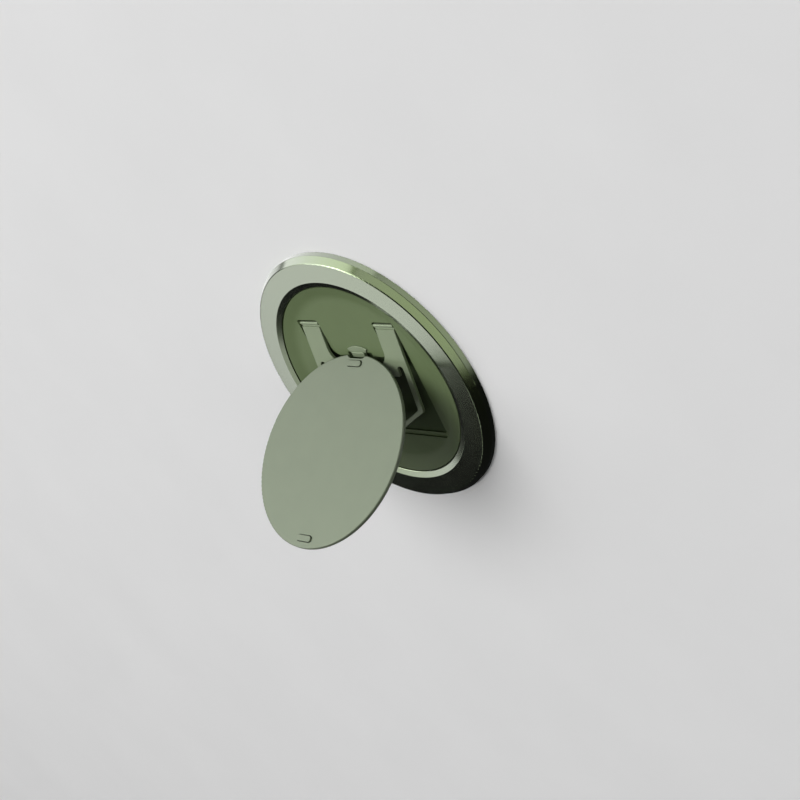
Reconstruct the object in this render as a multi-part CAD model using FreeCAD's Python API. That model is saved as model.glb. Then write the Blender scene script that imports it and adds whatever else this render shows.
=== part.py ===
import FreeCAD, Part
import math
import os

# A folding grip: a round magnetic base, an arm hinged in the base, a strut hinged
# on the arm and a disk hinged on the strut. Every piece is drawn folded flat and
# is then turned about its hinge into the standing position.
# Millimetres. The origin is the centre of the mounting face, +Y is towards the
# arm's hinge and +Z points away from the mounting face.

# Standing position: the disk's tilt, and how its notch stands over the catch's step
disk_angle = 54.8
rest_inset = 0.234
rest_gap = 0.423

# Clearances
running_clearance = 0.03
pin_seat_clearance = 0.015
assembly_clearance = 0.1
floor_gap = 0.2

# Base ring
ring_radius = 28.0
ring_height = 2.55
band_height = 1.2
bevel_width = 0.9
face_width = 4.2
lip_width = 1.2
lip_drop = 0.35
face_outer_radius = ring_radius - bevel_width
face_inner_radius = face_outer_radius - face_width
lip_radius = face_inner_radius - lip_width
lip_height = ring_height - lip_drop
shoulder_rounding = 0.2
face_edge_rounding = 0.3
lip_rounding = 0.15

# Sheets behind the ring
pad_margin = 1.0
pad_radius = ring_radius - pad_margin
pad_thickness = 0.2
plate_thickness = 0.15
plate_top = pad_thickness + plate_thickness

# Magnets and flux ring
magnet_count = 16
magnet_wall = 0.8
magnet_width = 3.4
magnet_outer_radius = face_outer_radius - magnet_wall
magnet_inner_radius = magnet_outer_radius - magnet_width
magnet_thickness = 1.1
magnet_gap_angle = 1.2
yoke_thickness = 0.3
magnet_top = pad_thickness + magnet_thickness
yoke_top = magnet_top + yoke_thickness

# Well floor
floor_radius = lip_radius - floor_gap
floor_rim_height = 2.08
flange_width = 0.6
flange_top = 0.85
cone_width = 2.6
crease_radius = floor_radius - cone_width
crease_height = 1.22
crease_rounding = 6.0
dish_height = 1.02

# Arm hinge
hinge_y = 12.42
hinge_z = 0.85
barrel_radius = 0.36
pin_radius = 0.22
pin_seat_depth = 0.55

# Knee hinge, at the arm's lower end
arm_reach = 22.32
knee_z = 0.8
knuckle_inner = 3.05
knuckle_outer = 4.4
knee_y = hinge_y - arm_reach

# Strut
strut_length = 11.8
strut_half_width = 2.8
strut_bottom = 0.55
strut_thickness = 0.5
strut_neck = 2.0
strut_neck_length = 1.1
disk_hinge_y = knee_y + strut_length

# Arm frame
arm_bottom = 0.5
arm_thickness = 0.55
leg_inner = 8.05
leg_width = 5.15
leg_outer = leg_inner + leg_width
leg_groove_width = 0.42
leg_groove_depth = 0.2
notch_rounding = 3.0
rim_width = 1.38
slant_width = 0.95
slant_drop = 4.83
knuckle_margin = 0.5
slant_end = knee_y - knuckle_margin
shoulder_y = slant_end + slant_drop
bay_end_gap = 1.1
bar_height = 1.0
bar_end_drop = 1.25
bar_bottom = disk_hinge_y + bay_end_gap
bar_ends = bar_bottom - bar_end_drop
notch_y = bar_bottom + bar_height
slot_rise = 0.95
slot_top = bar_bottom + slot_rise
slot_inner = 10.3
bay_half_width = 4.6
bay_corner = 0.35
arm_edge_rounding = 0.1
corner_rounding = 0.8
slot_corner = 0.7

# Disk
disk_overlap = 0.13
disk_radius = crease_radius + disk_overlap
disk_thickness = 0.8
disk_edge_rounding = 0.22
disk_gap = 0.9
disk_hinge_z = ring_height - disk_thickness - disk_gap
disk_inner = ring_height - disk_thickness

# Notch in the disk's edge for the catch
catch_notch_depth = 0.88
catch_notch_bottom = 1.75
catch_notch_top = 3.3
catch_notch_corner = 0.2

# Nubs in the disk
nub_width = 4.0
nub_height = 1.2
nub_rise = 0.3
nub_inset = 1.88
nub_place = disk_radius - nub_inset
nub_clearance = 0.12
nub_rounding = 0.14
nub_head_margin = 0.4
nub_head_thickness = 0.2

# Bracket behind the disk
bracket_thickness = 0.35
bracket_half_width = 3.9
bracket_below = 2.7
bracket_above = 2.7
bracket_corner = 0.6
ear_inner = 2.25
ear_outer = 3.1
ear_radius = 0.36
rivet_radius = 0.3
rivet_head_radius = 0.5
rivet_head = 0.15
rivet_depth = 0.35
rivet_inset = 0.65

# Pocket in the well floor
pocket_side_gap = 0.5
pocket_end_gap = 0.83
pocket_half_width = leg_outer + pocket_side_gap
pocket_top = hinge_y + pocket_end_gap
pocket_top_corner = 0.4
slot_root_corner = 0.7
pocket_low_gap = 2.8
pocket_bottom = slant_end - pocket_low_gap
pocket_corner = 1.2
shelf_width = 0.9
shelf_height = 0.75
tongue_side_gap = 0.3
tongue_half_width = leg_inner - tongue_side_gap
tongue_end_gap = 1.2
tongue_end = notch_y + tongue_end_gap
tongue_corner = 1.9
tongue_notch_half_width = 3.4
tongue_notch_depth = 0.9
tongue_notch_end = tongue_end + tongue_notch_depth

# Catch on the tongue
catch_half_width = 2.75
catch_length = 2.45
catch_bow = 0.7
catch_top_y = tongue_end + catch_length
catch_wide_y = catch_top_y - catch_bow
catch_foot_half_width = 2.1
catch_seat = 0.9
catch_flange_top = 1.34
catch_edge_rounding = 0.12
step_half_width = 1.75
step_length = 1.15
step_low_y = tongue_end
step_high_y = step_low_y + step_length
step_top = 1.58
step_rounding = 0.15
catch_stem_radius = 0.6
catch_stem_inset = 0.9
catch_stem_y = catch_top_y - catch_stem_inset

# Friction washers
washer_radius = 0.34
arm_washer_side = 0.05
washer_side = 0.025

x_axis = FreeCAD.Vector(1, 0, 0)
z_axis = FreeCAD.Vector(0, 0, 1)
cut_margin = 1.0
same_point = 1e-6


def rounded_wire(corners, upright=False):
    """A closed outline of straight sides whose corners (a, b, radius) are rounded."""
    def point(a, b):
        if upright:
            return FreeCAD.Vector(a, 0, b)
        return FreeCAD.Vector(a, b, 0)

    starts = []
    ends = []
    middles = []
    count = len(corners)
    for i in range(count):
        here = point(corners[i][0], corners[i][1])
        before = point(corners[i - 1][0], corners[i - 1][1])
        after = point(corners[(i + 1) % count][0], corners[(i + 1) % count][1])
        radius = corners[i][2]
        back = (before - here).normalize()
        ahead = (after - here).normalize()
        if radius == 0:
            starts.append(here)
            ends.append(here)
            middles.append(None)
            continue
        half = back.getAngle(ahead) / 2
        run = radius / math.tan(half)
        inward = (back + ahead).normalize()
        centre = here + inward * (radius / math.sin(half))
        starts.append(here + back * run)
        ends.append(here + ahead * run)
        middles.append(centre - inward * radius)
    edges = []
    for i in range(count):
        if middles[i] is not None:
            edges.append(Part.Arc(starts[i], middles[i], ends[i]).toShape())
        following = starts[(i + 1) % count]
        if (following - ends[i]).Length > same_point:
            edges.append(Part.LineSegment(ends[i], following).toShape())
    return Part.Wire(edges)


def sheet(corners, bottom, top):
    """A flat plate of the given outline between two heights."""
    face = Part.Face(rounded_wire(corners))
    plate = face.extrude(FreeCAD.Vector(0, 0, top - bottom))
    plate.translate(FreeCAD.Vector(0, 0, bottom))
    return plate


def mirrored(half):
    """An outline from its right half, listed from top to bottom."""
    return half + [(-x, y, r) for x, y, r in reversed(half)]


def turned(corners):
    """A solid of revolution about Z from an outline of (radius, height, rounding)."""
    face = Part.Face(rounded_wire(corners, upright=True))
    return face.revolve(FreeCAD.Vector(0, 0, 0), z_axis, 360)


def ring(inner, outer, bottom, top):
    return turned([(inner, bottom, 0), (outer, bottom, 0), (outer, top, 0), (inner, top, 0)])


def rod(radius, left, right, y, z):
    """A round bar along X."""
    return Part.makeCylinder(radius, right - left, FreeCAD.Vector(left, y, z), x_axis)


def block(left, right, front, back, bottom, top):
    corner = FreeCAD.Vector(left, front, bottom)
    return Part.makeBox(right - left, back - front, top - bottom, corner)


def pill(width, height, y, bottom, top):
    """A plate with half-round ends, long along X."""
    round_end = height / 2
    corners = mirrored([
        (width / 2, y + round_end, round_end),
        (width / 2, y - round_end, round_end),
    ])
    return sheet(corners, bottom, top)


def pair(make):
    """The same piece at +X and -X."""
    right = make()
    left = right.mirror(FreeCAD.Vector(0, 0, 0), x_axis)
    return [right, left]


def washer(left, thickness, y, z):
    bore = pin_radius + running_clearance
    outside = rod(washer_radius, left, left + thickness, y, z)
    return outside.cut(rod(bore, left - cut_margin, left + thickness + cut_margin, y, z))


def catch_plate(grow, low_y, bottom, top):
    """The catch's outline, an arc above two sides that run in, as a plate."""
    wide = catch_half_width + grow
    foot = catch_foot_half_width + grow
    right = FreeCAD.Vector(wide, catch_wide_y, bottom)
    left = FreeCAD.Vector(-wide, catch_wide_y, bottom)
    peak = FreeCAD.Vector(0, catch_top_y + grow, bottom)
    low_right = FreeCAD.Vector(foot, low_y, bottom)
    low_left = FreeCAD.Vector(-foot, low_y, bottom)
    arc = Part.Arc(left, peak, right).toShape()
    sides = Part.makePolygon([right, low_right, low_left, left])
    face = Part.Face(Part.Wire([arc] + sides.Edges))
    return face.extrude(FreeCAD.Vector(0, 0, top - bottom))


def top_edges(solid, height):
    """The edges that lie in the plane of a flat face at the given height."""
    picked = []
    for edge in solid.Edges:
        box = edge.BoundBox
        if abs(box.ZMin - height) < 1e-4 and abs(box.ZMax - height) < 1e-4:
            picked.append(edge)
    return picked


def swing(point, about, angle):
    """A point (y, z) turned about another one, seen along +X."""
    y = point[0] - about[0]
    z = point[1] - about[1]
    c = math.cos(math.radians(angle))
    s = math.sin(math.radians(angle))
    return (about[0] + y * c - z * s, about[1] + y * s + z * c)


def bearing(point, about):
    """The direction of a point (y, z) from another one, in degrees from +Y."""
    return math.degrees(math.atan2(point[1] - about[1], point[0] - about[0]))


def lower_meeting(first, first_reach, second, second_reach):
    """The lower of the two points (y, z) at the given distances from two others."""
    y = second[0] - first[0]
    z = second[1] - first[1]
    gap = math.hypot(y, z)
    along = (first_reach ** 2 - second_reach ** 2 + gap ** 2) / (2 * gap)
    aside = math.sqrt(first_reach ** 2 - along ** 2)
    return (
        first[0] + (y * along - z * aside) / gap,
        first[1] + (z * along + y * aside) / gap,
    )


def placed(shape, folded, angle, standing):
    """A piece turned about its hinge at (y, z), then carried to where the hinge stands."""
    moved = shape.copy()
    moved.rotate(FreeCAD.Vector(0, folded[0], folded[1]), x_axis, angle)
    moved.translate(FreeCAD.Vector(0, standing[0] - folded[0], standing[1] - folded[1]))
    return moved


def group(solids):
    return Part.makeCompound(solids)


# Hinge lines, folded and standing
arm_hinge = (hinge_y, hinge_z)
knee_folded = (knee_y, knee_z)
disk_hinge_folded = (disk_hinge_y, disk_hinge_z)
notch_bottom = disk_radius - catch_notch_depth
notch_turned = swing((notch_bottom, disk_inner), disk_hinge_folded, -disk_angle)
disk_hinge_standing = (
    disk_hinge_y + step_low_y - rest_inset - notch_turned[0],
    disk_hinge_z + step_top + rest_gap - notch_turned[1],
)
knee_standing = lower_meeting(
    arm_hinge, math.dist(arm_hinge, knee_folded),
    disk_hinge_standing, math.dist(knee_folded, disk_hinge_folded))
arm_angle = (bearing(knee_folded, arm_hinge) - bearing(knee_standing, arm_hinge)) % 360
strut_angle = bearing(disk_hinge_standing, knee_standing) - bearing(disk_hinge_folded, knee_folded)


def on_arm(shape):
    return placed(shape, arm_hinge, -arm_angle, arm_hinge)


def on_strut(shape):
    return placed(shape, knee_folded, strut_angle, knee_standing)


def on_disk(shape):
    return placed(shape, disk_hinge_folded, -disk_angle, disk_hinge_standing)


# Base ring: bevelled outside, sloped lip inside, a groove for the magnets from behind
groove_inner = magnet_inner_radius - assembly_clearance
groove_outer = magnet_outer_radius + assembly_clearance
pad_recess = pad_radius + assembly_clearance
flange_recess = floor_radius + flange_width + assembly_clearance
base_ring = turned([
    (ring_radius, 0, 0),
    (ring_radius, band_height, shoulder_rounding),
    (face_outer_radius, ring_height, face_edge_rounding),
    (face_inner_radius, ring_height, lip_rounding),
    (lip_radius, lip_height, lip_rounding),
    (lip_radius, flange_top, 0),
    (flange_recess, flange_top, 0),
    (flange_recess, pad_thickness, 0),
    (groove_inner, pad_thickness, 0),
    (groove_inner, yoke_top, 0),
    (groove_outer, yoke_top, 0),
    (groove_outer, pad_thickness, 0),
    (pad_recess, pad_thickness, 0),
    (pad_recess, 0, 0),
])

# Sheets on the back
rear_pad = Part.makeCylinder(pad_radius, pad_thickness)
plate_radius = flange_recess - assembly_clearance
plate_corner = FreeCAD.Vector(0, 0, pad_thickness)
back_plate = Part.makeCylinder(plate_radius, plate_thickness, plate_corner)

# Sixteen arc magnets and the flux ring that joins them
magnet_yoke = ring(magnet_inner_radius, magnet_outer_radius, magnet_top, yoke_top)
magnet_arc = 360.0 / magnet_count - magnet_gap_angle
magnets = []
for number in range(magnet_count):
    outer = Part.makeCylinder(
        magnet_outer_radius, magnet_thickness, plate_corner, z_axis, magnet_arc)
    inner = Part.makeCylinder(magnet_inner_radius, magnet_thickness, plate_corner)
    segment = outer.cut(inner)
    segment.rotate(FreeCAD.Vector(0, 0, 0), z_axis, number * 360.0 / magnet_count)
    magnets.append(segment)
magnet_segments = group(magnets)

# Well floor: flange behind the ring, cone, crease and a shallow dish
dish_middle = dish_height + (crease_height - dish_height) / 4
well_outline = [
    FreeCAD.Vector(0, 0, plate_top),
    FreeCAD.Vector(floor_radius + flange_width, 0, plate_top),
    FreeCAD.Vector(floor_radius + flange_width, 0, flange_top),
    FreeCAD.Vector(floor_radius, 0, flange_top),
    FreeCAD.Vector(floor_radius, 0, floor_rim_height),
    FreeCAD.Vector(crease_radius, 0, crease_height),
]
well_edges = []
for number in range(len(well_outline) - 1):
    segment = Part.LineSegment(well_outline[number], well_outline[number + 1])
    well_edges.append(segment.toShape())
dish_arc = Part.Arc(
    well_outline[-1],
    FreeCAD.Vector(crease_radius / 2, 0, dish_middle),
    FreeCAD.Vector(0, 0, dish_height),
)
well_edges.append(dish_arc.toShape())
axis_line = Part.LineSegment(FreeCAD.Vector(0, 0, dish_height), well_outline[0])
well_edges.append(axis_line.toShape())
well_floor = Part.Face(Part.Wire(well_edges)).revolve(FreeCAD.Vector(0, 0, 0), z_axis, 360)
well_floor = well_floor.makeFillet(crease_rounding, top_edges(well_floor, crease_height))

# The arm's pocket, open at the back onto the plate, with a shelf at its lower end
above = ring_height + cut_margin
below = plate_top - cut_margin
pocket_upper = [
    (tongue_notch_half_width, tongue_notch_end, 0),
    (tongue_notch_half_width, tongue_end, 0),
    (tongue_half_width, tongue_end, tongue_corner),
    (tongue_half_width, pocket_top, slot_root_corner),
    (pocket_half_width, pocket_top, pocket_top_corner),
]
for low, bottom in ((pocket_bottom + shelf_width, below), (pocket_bottom, shelf_height)):
    outline = pocket_upper + [(pocket_half_width, low, pocket_corner)]
    well_floor = well_floor.cut(sheet(mirrored(outline), bottom, above))

# Bores for the arm's pins, in the tongue and in the pocket's sides
pin_left = tongue_half_width - pin_seat_depth
pin_right = pocket_half_width + pin_seat_depth
seat_radius = pin_radius + pin_seat_clearance
arm_pins = group(pair(lambda: rod(pin_radius, pin_left, pin_right, hinge_y, hinge_z)))
for bore in pair(lambda: rod(
        seat_radius, pin_left - pin_seat_clearance, pin_right + pin_seat_clearance,
        hinge_y, hinge_z)):
    well_floor = well_floor.cut(bore)

# Catch on the end of the tongue, seated in a flat and riveted through
catch_flange = catch_plate(0, tongue_notch_end, catch_seat, catch_flange_top)
catch_flange = catch_flange.makeFillet(
    catch_edge_rounding, top_edges(catch_flange, catch_flange_top))
catch_step = block(
    -step_half_width, step_half_width, step_low_y, step_high_y, catch_seat, step_top)
catch_step = catch_step.makeFillet(step_rounding, top_edges(catch_step, step_top))
catch_stem = Part.makeCylinder(
    catch_stem_radius, catch_seat - plate_top, FreeCAD.Vector(0, catch_stem_y, plate_top))
stand_catch = catch_flange.fuse(catch_step).fuse(catch_stem)
well_floor = well_floor.cut(
    catch_plate(pin_seat_clearance, tongue_notch_end, catch_seat, above))
stem_bore = Part.makeCylinder(
    catch_stem_radius + pin_seat_clearance, above - below,
    FreeCAD.Vector(0, catch_stem_y, below))
well_floor = well_floor.cut(stem_bore)

# Arm frame: legs, cross bar, rim and the knuckles at its lower end
arm_top = arm_bottom + arm_thickness
slant_rise = slant_drop / (leg_outer - knuckle_outer)
rim_slant = slant_width * math.sqrt(1 + slant_rise * slant_rise)
opening_edge = leg_outer - rim_width
opening_shoulder = shoulder_y + rim_slant - slant_rise * rim_width
opening_end = slant_end + rim_slant
notch_outline = mirrored([
    (leg_inner, hinge_y + cut_margin, 0),
    (leg_inner, notch_y, notch_rounding),
])
opening_outline = mirrored([
    (bay_half_width, bar_bottom, bay_corner),
    (bay_half_width, bar_ends, bay_corner),
    (slot_inner, bar_ends, bay_corner),
    (slot_inner, slot_top, slot_corner),
    (opening_edge, slot_top, slot_corner),
    (opening_edge, opening_shoulder, corner_rounding),
    (knuckle_outer, opening_end, 0),
])
arm_plate = sheet(mirrored([
    (leg_outer, hinge_y, 0),
    (leg_outer, shoulder_y, corner_rounding),
    (knuckle_outer, slant_end, 0),
]), arm_bottom, arm_top)
arm_plate = arm_plate.cut(sheet(notch_outline, below, above))
arm_plate = arm_plate.cut(sheet(opening_outline, below, above))
arm_plate = arm_plate.cut(block(
    -knuckle_inner, knuckle_inner, slant_end - cut_margin, opening_end + assembly_clearance,
    below, above))
arm_plate = arm_plate.makeFillet(arm_edge_rounding, top_edges(arm_plate, arm_top))
groove_high = hinge_y - barrel_radius
arm_frame = arm_plate.cut(block(
    -leg_outer - cut_margin, leg_outer + cut_margin, groove_high - leg_groove_width, groove_high,
    arm_top - leg_groove_depth, above))
for barrel in pair(lambda: rod(barrel_radius, leg_inner, leg_outer, hinge_y, hinge_z)):
    arm_frame = arm_frame.fuse(barrel)
for knuckle in pair(lambda: rod(barrel_radius, knuckle_inner, knuckle_outer, knee_y, knee_z)):
    arm_frame = arm_frame.fuse(knuckle)
for bore in pair(lambda: rod(
        pin_radius + running_clearance, leg_inner - cut_margin, leg_outer + cut_margin,
        hinge_y, hinge_z)):
    arm_frame = arm_frame.cut(bore)
arm_frame = arm_frame.cut(rod(
    seat_radius, -knuckle_outer - cut_margin, knuckle_outer + cut_margin, knee_y, knee_z))
knee_pin = rod(pin_radius, -knuckle_outer, knuckle_outer, knee_y, knee_z)

# Washers beside the arm's barrels
inner_gap = leg_inner - tongue_half_width - 2 * arm_washer_side
outer_gap = pocket_half_width - leg_outer - 2 * arm_washer_side
arm_washers = group(
    pair(lambda: washer(tongue_half_width + arm_washer_side, inner_gap, hinge_y, hinge_z))
    + pair(lambda: washer(leg_outer + arm_washer_side, outer_gap, hinge_y, hinge_z)))

# Strut from the knee to the disk
strut_top = strut_bottom + strut_thickness
neck_start = disk_hinge_y - strut_neck_length
strut_plate = sheet(mirrored([
    (strut_neck, disk_hinge_y, 0),
    (strut_neck, neck_start, 0),
    (strut_half_width, neck_start - (strut_half_width - strut_neck), 0),
    (strut_half_width, knee_y, 0),
]), strut_bottom, strut_top)
strut_link = strut_plate.fuse(
    rod(barrel_radius, -strut_half_width, strut_half_width, knee_y, knee_z))
strut_link = strut_link.fuse(
    rod(barrel_radius, -strut_neck, strut_neck, disk_hinge_y, disk_hinge_z))
for hinge in (knee_folded, disk_hinge_folded):
    strut_link = strut_link.cut(rod(
        pin_radius + running_clearance, -strut_half_width - cut_margin,
        strut_half_width + cut_margin, hinge[0], hinge[1]))
knee_gap = knuckle_inner - strut_half_width - 2 * washer_side
knee_washers = group(pair(
    lambda: washer(strut_half_width + washer_side, knee_gap, knee_y, knee_z)))

# Disk with rounded edges, a notch for the catch and a slot for each nub
grip_disk = turned([
    (0, disk_inner, 0),
    (disk_radius, disk_inner, disk_edge_rounding),
    (disk_radius, ring_height, disk_edge_rounding),
    (0, ring_height, 0),
])
grip_disk = grip_disk.cut(sheet(mirrored([
    (catch_notch_top + cut_margin, disk_radius + cut_margin, 0),
    (catch_notch_top, disk_radius, 0),
    (catch_notch_bottom, notch_bottom, catch_notch_corner),
]), below, above))

# Nubs pushed through the disk from behind
nubs = []
for place in (nub_place, -nub_place):
    stem = pill(nub_width, nub_height, place, disk_inner, ring_height + nub_rise)
    stem = stem.makeFillet(nub_rounding, top_edges(stem, ring_height + nub_rise))
    head_width = nub_width + 2 * nub_head_margin
    head_height = nub_height + nub_head_margin
    head = pill(head_width, head_height, place, disk_inner - nub_head_thickness, disk_inner)
    nubs.append(stem.fuse(head))
    grip_disk = grip_disk.cut(pill(
        nub_width + 2 * nub_clearance, nub_height + 2 * nub_clearance, place, below, above))
disk_nubs = group(nubs)

# Bracket behind the disk, with two ears round the strut's end
bracket_low = disk_hinge_y - bracket_below
bracket_high = disk_hinge_y + bracket_above
bracket_bottom = disk_inner - bracket_thickness
disk_bracket = sheet(mirrored([
    (bracket_half_width, bracket_high, bracket_corner),
    (bracket_half_width, bracket_low, bracket_corner),
]), bracket_bottom, disk_inner)
for ear in pair(lambda: rod(ear_radius, ear_inner, ear_outer, disk_hinge_y, disk_hinge_z).fuse(
        block(ear_inner, ear_outer, disk_hinge_y - ear_radius, disk_hinge_y + ear_radius,
              disk_hinge_z, bracket_bottom))):
    disk_bracket = disk_bracket.fuse(ear)
disk_bracket = disk_bracket.cut(rod(
    seat_radius, -ear_outer - cut_margin, ear_outer + cut_margin, disk_hinge_y, disk_hinge_z))
disk_pin = rod(pin_radius, -ear_outer, ear_outer, disk_hinge_y, disk_hinge_z)
ear_gap = ear_inner - strut_neck - 2 * washer_side
disk_washers = group(pair(
    lambda: washer(strut_neck + washer_side, ear_gap, disk_hinge_y, disk_hinge_z)))

# Rivets that hold the bracket to the disk
rivets = []
rivet_x = bracket_half_width - rivet_inset
for x in (-rivet_x, rivet_x):
    for y in (bracket_low + rivet_inset, bracket_high - rivet_inset):
        foot = FreeCAD.Vector(x, y, bracket_bottom - rivet_head)
        head = Part.makeCylinder(rivet_head_radius, rivet_head, foot)
        length = rivet_head + bracket_thickness + rivet_depth
        shank = Part.makeCylinder(rivet_radius, length, foot)
        rivets.append(head.fuse(shank))
        hole = Part.makeCylinder(rivet_radius + pin_seat_clearance, length, foot)
        disk_bracket = disk_bracket.cut(hole)
        grip_disk = grip_disk.cut(hole)
bracket_rivets = group(rivets)

nodes = {
    "base_ring": base_ring,
    "well_floor": well_floor,
    "back_plate": back_plate,
    "rear_pad": rear_pad,
    "magnet_segments": magnet_segments,
    "magnet_yoke": magnet_yoke,
    "arm_pins": arm_pins,
    "arm_washers": arm_washers,
    "stand_catch": stand_catch,
    "arm_frame": on_arm(arm_frame),
    "knee_pin": on_arm(knee_pin),
    "knee_washers": on_arm(knee_washers),
    "strut_link": on_strut(strut_link),
    "grip_disk": on_disk(grip_disk),
    "disk_nubs": on_disk(disk_nubs),
    "disk_bracket": on_disk(disk_bracket),
    "bracket_rivets": on_disk(bracket_rivets),
    "disk_pin": on_disk(disk_pin),
    "disk_washers": on_disk(disk_washers),
}

os.makedirs("parts", exist_ok=True)
for name, shape in nodes.items():
    shape.exportStep("parts/" + name + ".step")
    print(name, len(shape.Solids), shape.isValid(), round(shape.Volume, 3))
print("arm, strut and disk angles", arm_angle, strut_angle, disk_angle)
print("knee standing", knee_standing)
print("disk hinge standing", disk_hinge_standing)
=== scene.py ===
import bpy
import math
from mathutils import Matrix, Vector

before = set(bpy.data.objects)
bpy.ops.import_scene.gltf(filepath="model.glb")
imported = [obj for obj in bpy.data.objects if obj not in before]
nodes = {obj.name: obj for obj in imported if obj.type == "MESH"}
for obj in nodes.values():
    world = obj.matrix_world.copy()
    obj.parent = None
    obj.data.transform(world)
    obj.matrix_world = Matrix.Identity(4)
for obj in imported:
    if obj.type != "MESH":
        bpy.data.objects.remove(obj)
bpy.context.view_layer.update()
print("frame loaded:", len(nodes), "nodes")

# camera, fitted to the ring's circles
cameraView = {
    "place": (0.25404, 0.141925, 0.175474),
    "right": (0.67253, -0.41113, -0.61537),
    "up": (-0.05516, 0.80134, -0.59566),
    "back": (0.73801, 0.43454, 0.51625),
    "lens": 80.1,
    "sensor": 36.0,
    "clip": (0.005, 50.0),
}


def setCamera(view):
    data = bpy.data.cameras.new("camera")
    data.lens = view["lens"]
    data.sensor_width = view["sensor"]
    data.clip_start, data.clip_end = view["clip"]
    camera = bpy.data.objects.new("camera", data)
    bpy.context.scene.collection.objects.link(camera)
    axes = [Vector(view[k]) for k in ("right", "up", "back")]
    turn = Matrix(axes).transposed()
    camera.matrix_world = Matrix.Translation(Vector(view["place"])) @ turn.to_4x4()
    bpy.context.scene.camera = camera


setCamera(cameraView)
bpy.context.scene.view_settings.view_transform = "Standard"
print("camera set")

# softboxes by compass bearing (from +X towards +Y) and height in degrees, glow is how bright they look
# boxes marked floor light the floor and the matte parts, the others are there to be mirrored
softboxes = {
    "sideBox": {"bearing": 193.8, "height": 38, "far": 0.24, "size": (0.1255, 0.115), "glow": 1.2},
    "backBox": {"bearing": 132, "height": 18, "far": 0.24, "size": (0.277, 0.214), "glow": 1.72},
    "highBox": {"bearing": 147, "height": 44, "far": 0.30, "size": (0.16, 0.10), "glow": 5.0},
    "frontBox": {"bearing": 40, "height": 32, "far": 0.60, "size": (1.56, 0.22), "glow": 0.82},
    "lowBox": {"bearing": 35, "height": -31, "far": 0.60, "size": (1.3, 0.3), "glow": 0.7},
    "lowBack": {"bearing": 150, "height": -31, "far": 0.60, "size": (2.0, 0.5), "glow": 1.08},
    "fillBox": {"bearing": 233, "height": 57, "far": 0.30, "size": (0.12, 0.12), "glow": 0.72},
    "topBox": {"bearing": 104, "height": 60, "far": 1.4, "size": (1.1, 1.1), "glow": 4.0, "floor": True},
    "cameraBox": {"bearing": 15, "height": 52, "far": 1.4, "size": (1.1, 1.1), "glow": 0.9, "floor": True},
    "leftBox": {"bearing": 162, "height": 42, "far": 1.4, "size": (1.1, 1.1), "glow": 1.5, "floor": True},
}


def addSoftbox(name, s):
    data = bpy.data.lights.new(name, "AREA")
    data.shape = "RECTANGLE"
    data.size, data.size_y = s["size"]
    data.energy = s["glow"] * math.pi * data.size * data.size_y
    lamp = bpy.data.objects.new(name, data)
    bpy.context.scene.collection.objects.link(lamp)
    b, h = math.radians(s["bearing"]), math.radians(s["height"])
    aim = Vector((math.cos(b) * math.cos(h), math.sin(b) * math.cos(h), math.sin(h)))
    lamp.location = aim * s["far"]
    lamp.rotation_mode = "QUATERNION"
    lamp.rotation_quaternion = (-aim).to_track_quat("-Z", "Y")
    lightsFloor = s.get("floor", False)
    lamp.visible_diffuse = lightsFloor
    lamp.visible_glossy = not lightsFloor


for boxName, boxSet in softboxes.items():
    addSoftbox(boxName, boxSet)

# a trace of light all round
worldLook = {"tone": (1, 1, 1, 1), "strength": 0.012}


def makeWorld(look):
    world = bpy.data.worlds.new("studio")
    bpy.context.scene.world = world
    world.use_nodes = True
    background = world.node_tree.nodes["Background"]
    background.inputs["Color"].default_value = look["tone"]
    background.inputs["Strength"].default_value = look["strength"]


makeWorld(worldLook)
print("lights set")


def newFinish(name):
    mat = bpy.data.materials.new(name)
    mat.use_nodes = True
    tree = mat.node_tree
    return mat, tree.nodes, tree.links, tree.nodes["Principled BSDF"]


def addNoise(nn, ll, vector, scale, detail):
    noise = nn.new("ShaderNodeTexNoise")
    noise.inputs["Scale"].default_value = scale
    noise.inputs["Detail"].default_value = detail
    ll.new(vector, noise.inputs["Vector"])
    return noise.outputs["Fac"]


def addRamp(nn, ll, factor, places, first, second):
    ramp = nn.new("ShaderNodeValToRGB")
    for stop, place, colour in zip(ramp.color_ramp.elements, places, (first, second)):
        stop.position = place
        stop.color = (*colour, 1)
    ll.new(factor, ramp.inputs["Fac"])
    return ramp.outputs["Color"]


def addRange(nn, ll, value, fromPair, toPair):
    span = nn.new("ShaderNodeMapRange")
    span.inputs["From Min"].default_value, span.inputs["From Max"].default_value = fromPair
    span.inputs["To Min"].default_value, span.inputs["To Max"].default_value = toPair
    ll.new(value, span.inputs["Value"])
    return span.outputs["Result"]


def addBump(nn, ll, height, strength, depth, bsdf):
    bump = nn.new("ShaderNodeBump")
    bump.inputs["Strength"].default_value = strength
    bump.inputs["Distance"].default_value = depth
    ll.new(height, bump.inputs["Height"])
    ll.new(bump.outputs["Normal"], bsdf.inputs["Normal"])


# the mix node's sockets for colours
mixSockets = {"factor": 0, "first": 6, "second": 7, "result": 2}


def mixColours(nn, ll, factor, first, second, blend):
    mix = nn.new("ShaderNodeMix")
    mix.data_type = "RGBA"
    mix.blend_type = blend
    if factor is None:
        mix.inputs[mixSockets["factor"]].default_value = 1.0
    else:
        ll.new(factor, mix.inputs[mixSockets["factor"]])
    ll.new(first, mix.inputs[mixSockets["first"]])
    ll.new(second, mix.inputs[mixSockets["second"]])
    return mix.outputs[mixSockets["result"]]


# pale floor, a little uneven like paper, not mirrored in the metal
floorLook = {"size": 6.0, "drop": 0.00005, "dark": (0.79, 0.79, 0.79), "light": (0.81, 0.81, 0.81),
             "cloud": 30, "patch": (0.3, 0.7), "rough": 0.6, "shine": 0.0}


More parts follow.
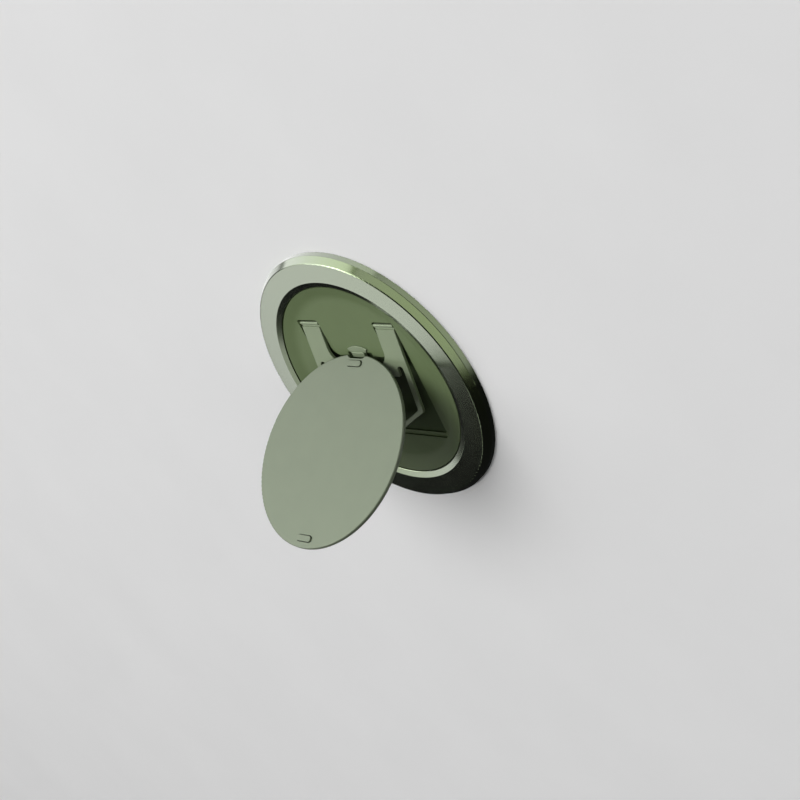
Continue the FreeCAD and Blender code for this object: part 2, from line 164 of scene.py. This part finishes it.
def makeFloor(look):
    bpy.ops.object.select_all(action="DESELECT")
    bpy.ops.mesh.primitive_plane_add(size=look["size"], location=(0, 0, -look["drop"]))
    floor = bpy.context.object
    floor.name = "floor"
    mat, nn, ll, bsdf = newFinish("floorPaper")
    place = nn.new("ShaderNodeTexCoord").outputs["Object"]
    cloud = addNoise(nn, ll, place, look["cloud"], 3)
    paper = addRamp(nn, ll, cloud, look["patch"], look["dark"], look["light"])
    ll.new(paper, bsdf.inputs["Base Color"])
    bsdf.inputs["Roughness"].default_value = look["rough"]
    bsdf.inputs["Specular IOR Level"].default_value = look["shine"]
    floor.data.materials.append(mat)
    floor.visible_glossy = False


makeFloor(floorLook)
print("floor set")

# satin green finishes: tone is seen square on, the paler colour seen from the side is a painted sheen, only
# the ring has a clear coat
greens = {
    "ringGreen": {"tone": (0.23, 0.32, 0.11), "edge": (0.25, 0.296, 0.208), "rough": 0.2, "metal": 1.0,
                  "shine": 0.5, "coat": 1.0, "coatRough": 0.13, "coatIor": 1.8},
    "wellGreen": {"tone": (0.137, 0.184, 0.087), "edge": (0.137, 0.184, 0.087), "rough": 0.4, "metal": 0.0,
                  "shine": 0.15},
    "diskGreen": {"tone": (0.178, 0.213, 0.143), "edge": (0.187, 0.22, 0.155), "rough": 0.42, "metal": 0.35,
                  "shine": 0.5},
    "armGreen": {"tone": (0.236, 0.292, 0.178), "edge": (0.236, 0.288, 0.182), "rough": 0.36, "metal": 0.25,
                 "shine": 0.35},
    # dark green for the back plate, darkened as painted shade for the floor of the deep pocket; the arm
    # washers use it too
    "deepGreenShade": {"tone": (0.06, 0.088, 0.036), "edge": (0.06, 0.088, 0.036), "rough": 0.6, "metal": 0.0,
                  "shine": 0.1},
}
# what all the greens share: fine grain, slight patches, a paler painted sheen from the side, paler edges that
# are partly rubbed wear and partly a painted edge highlight
greenFilm = {"grain": 9000, "bump": 0.025, "bumpDepth": 0.00002, "cloud": 220, "patch": (0.3, 0.7),
             "uneven": 0.95, "roughSpread": 0.03, "edgeFacing": 0.5, "wornGlint": (1.5, 1.8)}
edgeLook = {"radius": 0.00012, "samples": 4, "sharp": (0.995, 0.9), "most": 0.35}


# picks out sharp edges in patches, where the paler colour is partly rubbed wear and partly a painted edge
# highlight
def edgeWear(nn, ll, wearGlintPatches, look):
    bevel = nn.new("ShaderNodeBevel")
    bevel.samples = look["samples"]
    bevel.inputs["Radius"].default_value = look["radius"]
    flat = nn.new("ShaderNodeNewGeometry")
    turn = nn.new("ShaderNodeVectorMath")
    turn.operation = "DOT_PRODUCT"
    ll.new(bevel.outputs["Normal"], turn.inputs[0])
    ll.new(flat.outputs["Normal"], turn.inputs[1])
    sharp = addRange(nn, ll, turn.outputs["Value"], look["sharp"], (0.0, look["most"]))
    patchy = nn.new("ShaderNodeMath")
    patchy.operation = "MULTIPLY"
    ll.new(sharp, patchy.inputs[0])
    ll.new(wearGlintPatches, patchy.inputs[1])
    return patchy.outputs["Value"]


def makeGreen(name, g, film):
    mat, nn, ll, bsdf = newFinish(name)
    place = nn.new("ShaderNodeTexCoord").outputs["Object"]
    grain = addNoise(nn, ll, place, film["grain"], 2)
    cloud = addNoise(nn, ll, place, film["cloud"], 3)
    # greener seen square on, paler from the side as a painted sheen
    facing = nn.new("ShaderNodeLayerWeight").outputs["Facing"]
    hue = addRamp(nn, ll, facing, (0.0, film["edgeFacing"]), g["tone"], g["edge"])
    uneven = addRamp(nn, ll, cloud, film["patch"], [film["uneven"]] * 3, (1.0, 1.0, 1.0))
    tint = mixColours(nn, ll, None, hue, uneven, "MULTIPLY")
    # paler edges: partly rubbed wear, partly a painted edge highlight
    lessWornGlint, moreWornGlint = [[v * k for v in g["tone"]] for k in film["wornGlint"]]
    wornGlint = addRamp(nn, ll, cloud, film["patch"], lessWornGlint, moreWornGlint)
    wearGlint = edgeWear(nn, ll, cloud, edgeLook)
    ll.new(mixColours(nn, ll, wearGlint, tint, wornGlint, "MIX"), bsdf.inputs["Base Color"])
    roughPair = (g["rough"] - film["roughSpread"], g["rough"] + film["roughSpread"])
    ll.new(addRange(nn, ll, cloud, (0, 1), roughPair), bsdf.inputs["Roughness"])
    addBump(nn, ll, grain, film["bump"], film["bumpDepth"], bsdf)
    bsdf.inputs["Metallic"].default_value = g["metal"]
    bsdf.inputs["Specular IOR Level"].default_value = g["shine"]
    if "coat" in g:
        bsdf.inputs["Coat Weight"].default_value = g["coat"]
        bsdf.inputs["Coat Roughness"].default_value = g["coatRough"]
        bsdf.inputs["Coat IOR"].default_value = g["coatIor"]
    return mat


# bare metals inside the hinges and the base: fine lines, dull patches
metals = {
    "pinSteel": {"dark": (0.42, 0.42, 0.42), "light": (0.62, 0.62, 0.61),
                 "stretch": (9000, 300, 300), "rough": (0.22, 0.38)},
    "yokeZinc": {"dark": (0.40, 0.41, 0.43), "light": (0.56, 0.57, 0.58),
                 "stretch": (700, 700, 700), "rough": (0.3, 0.5)},
    "nickel": {"dark": (0.50, 0.48, 0.44), "light": (0.66, 0.64, 0.60),
               "stretch": (400, 400, 6000), "rough": (0.18, 0.34)},
    "bronze": {"dark": (0.30, 0.18, 0.08), "light": (0.52, 0.34, 0.16),
               "stretch": (2500, 2500, 2500), "rough": (0.3, 0.5)},
}
metalSkin = {"dull": 600, "patch": (0.3, 0.7), "bump": 0.15, "bumpDepth": 0.00001}


def makeMetal(name, m, skin):
    mat, nn, ll, bsdf = newFinish(name)
    place = nn.new("ShaderNodeTexCoord").outputs["Object"]
    draw = nn.new("ShaderNodeMapping")
    draw.inputs["Scale"].default_value = m["stretch"]
    ll.new(place, draw.inputs["Vector"])
    lines = addNoise(nn, ll, draw.outputs["Vector"], 1, 4)
    dull = addNoise(nn, ll, place, skin["dull"], 3)
    ll.new(addRamp(nn, ll, lines, skin["patch"], m["dark"], m["light"]), bsdf.inputs["Base Color"])
    ll.new(addRange(nn, ll, dull, skin["patch"], m["rough"]), bsdf.inputs["Roughness"])
    addBump(nn, ll, lines, skin["bump"], skin["bumpDepth"], bsdf)
    bsdf.inputs["Metallic"].default_value = 1.0
    return mat


# grippy pad: matte, pebbled, a few paler scuffs
padLook = {"dark": (0.022, 0.026, 0.022), "light": (0.05, 0.056, 0.05), "scuff": 350, "scuffed": (0.35, 0.75),
           "patch": (0.3, 0.7), "rough": (0.62, 0.85), "pebble": 2200, "bump": 0.4, "bumpDepth": 0.00004}


def makePad(name, p):
    mat, nn, ll, bsdf = newFinish(name)
    place = nn.new("ShaderNodeTexCoord").outputs["Object"]
    pebble = nn.new("ShaderNodeTexVoronoi")
    pebble.inputs["Scale"].default_value = p["pebble"]
    ll.new(place, pebble.inputs["Vector"])
    scuff = addNoise(nn, ll, place, p["scuff"], 5)
    ll.new(addRamp(nn, ll, scuff, p["scuffed"], p["dark"], p["light"]), bsdf.inputs["Base Color"])
    ll.new(addRange(nn, ll, scuff, p["patch"], p["rough"]), bsdf.inputs["Roughness"])
    addBump(nn, ll, pebble.outputs["Distance"], p["bump"], p["bumpDepth"], bsdf)
    return mat


finishes = {n: makeGreen(n, g, greenFilm) for n, g in greens.items()}
finishes.update({n: makeMetal(n, m, metalSkin) for n, m in metals.items()})
finishes["padRubber"] = makePad("padRubber", padLook)
print("finishes made:", len(finishes))

finishOf = {
    "base_ring": "ringGreen",
    "well_floor": "wellGreen",
    # the back plate's dark green is darkened as painted shade for the deep pocket's floor
    "back_plate": "deepGreenShade",
    "rear_pad": "padRubber",
    "magnet_segments": "nickel",
    "magnet_yoke": "yokeZinc",
    "arm_pins": "pinSteel",
    "arm_washers": "deepGreenShade",
    "stand_catch": "armGreen",
    "arm_frame": "armGreen",
    "knee_pin": "pinSteel",
    "knee_washers": "bronze",
    "strut_link": "armGreen",
    "grip_disk": "diskGreen",
    "disk_nubs": "diskGreen",
    "disk_bracket": "armGreen",
    "bracket_rivets": "pinSteel",
    "disk_pin": "pinSteel",
    "disk_washers": "bronze",
}
for nodeName, finish in finishOf.items():
    nodes[nodeName].data.materials.clear()
    nodes[nodeName].data.materials.append(finishes[finish])
print("finishes set on", len(finishOf), "of", len(nodes), "nodes")
